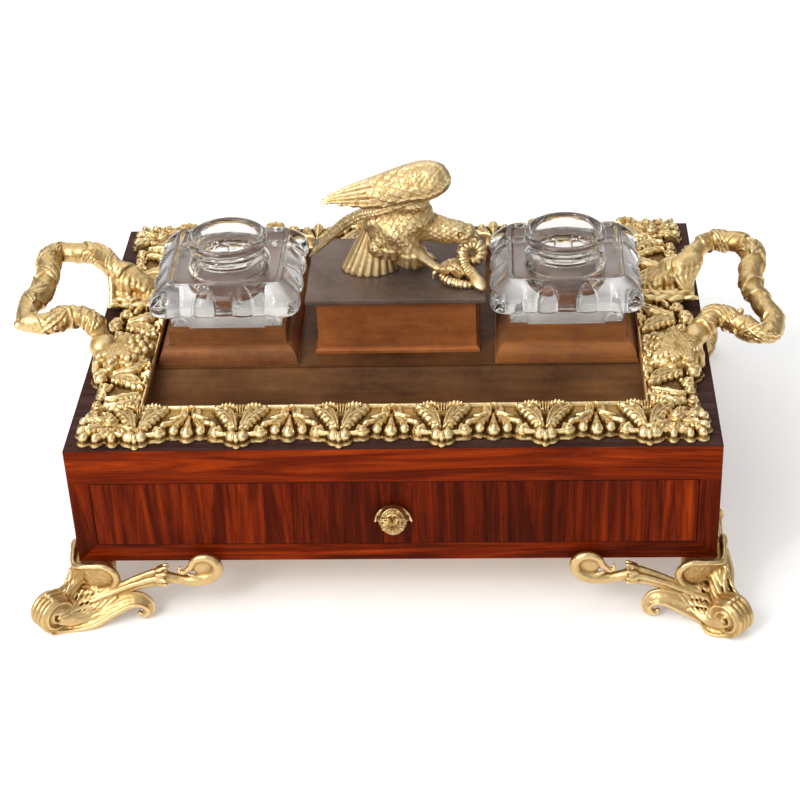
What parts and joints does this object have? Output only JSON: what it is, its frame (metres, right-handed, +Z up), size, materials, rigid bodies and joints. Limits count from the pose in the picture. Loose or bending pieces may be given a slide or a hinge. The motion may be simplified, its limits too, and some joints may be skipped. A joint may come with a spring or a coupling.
{
  "type": "desk inkstand",
  "caption": "Veneered desk inkstand with scalloped metal border, sunken pen tray, square glass inkwells, lidded wafer box topped by an eagle, front drawer, end handles and scroll feet.",
  "frame": {"origin": "on the surface that the four feet stand on, under the middle of the case", "axes": "+X to the right along the case's width, +Y from the drawer to the back, +Z up"},
  "size_m": [0.3808, 0.2662, 0.1834],
  "materials": {
    "rosewood": "french polished, streaked veneer",
    "dark_rosewood": "french polished, darkened and worn",
    "pine": "planed, unpolished",
    "mahogany": "planed, unpolished",
    "gilt": "fire gilt, matt grounds and burnished edges",
    "patinated_bronze": "brown patina, rubbed",
    "brass_fixings": "dull",
    "steel_screws": "dull",
    "cut_glass": "polished, cut"
  },
  "bodies": {
    "case": {"carcass_bottom": "pine", "carcass_left_side": "pine", "carcass_right_side": "pine", "carcass_back": "pine", "carcass_top": "pine", "front_lower_rail": "mahogany", "front_upper_rail": "mahogany", "drawer_runners": "mahogany", "drawer_kickers": "mahogany", "drawer_stops": "pine", "top_veneer": "dark_rosewood", "front_top_veneer": "rosewood", "front_bottom_veneer": "rosewood", "front_stile_veneers": "rosewood", "left_side_veneer": "rosewood", "right_side_veneer": "rosewood", "back_veneer": "rosewood", "bronze_tray": "patinated_bronze", "left_stand": "patinated_bronze", "right_stand": "patinated_bronze", "stand_screws": "steel_screws", "wafer_box": "patinated_bronze", "wafer_box_screws": "steel_screws", "border": "gilt", "border_screws": "brass_fixings", "left_handle": "gilt", "right_handle": "gilt", "handle_studs": "brass_fixings", "handle_nuts": "brass_fixings", "foot_front_left": "gilt", "foot_front_right": "gilt", "foot_rear_left": "gilt", "foot_rear_right": "gilt", "foot_screws": "steel_screws"},
    "drawer": {"drawer_front": "mahogany", "drawer_front_veneer": "rosewood", "drawer_left_side": "mahogany", "drawer_right_side": "mahogany", "drawer_back": "mahogany", "drawer_bottom": "pine", "drawer_knob": "gilt", "knob_collar": "gilt", "knob_stud": "brass_fixings", "knob_nut": "brass_fixings"},
    "lid": {"wafer_lid": "patinated_bronze", "eagle_body": "gilt", "eagle_near_wing": "gilt", "eagle_far_wing": "gilt", "serpent": "gilt", "figure_stud": "brass_fixings", "figure_nut": "brass_fixings"},
    "inkwell_left": {"left_inkwell": "cut_glass"},
    "inkwell_right": {"right_inkwell": "cut_glass"}
  },
  "joints": [
    {"name": "drawer_slide", "type": "slide", "parent": "case", "child": "drawer", "axis": [0, -1, 0], "range_m": [0, 0.15]},
    {"name": "lid_lift", "type": "slide", "parent": "case", "child": "lid", "axis": [0, 0, 1], "range_m": [0, 0.09]},
    {"name": "inkwell_left_lift", "type": "slide", "parent": "case", "child": "inkwell_left", "axis": [0, 0, 1], "range_m": [0, 0.09]},
    {"name": "inkwell_right_lift", "type": "slide", "parent": "case", "child": "inkwell_right", "axis": [0, 0, 1], "range_m": [0, 0.09]}
  ]
}
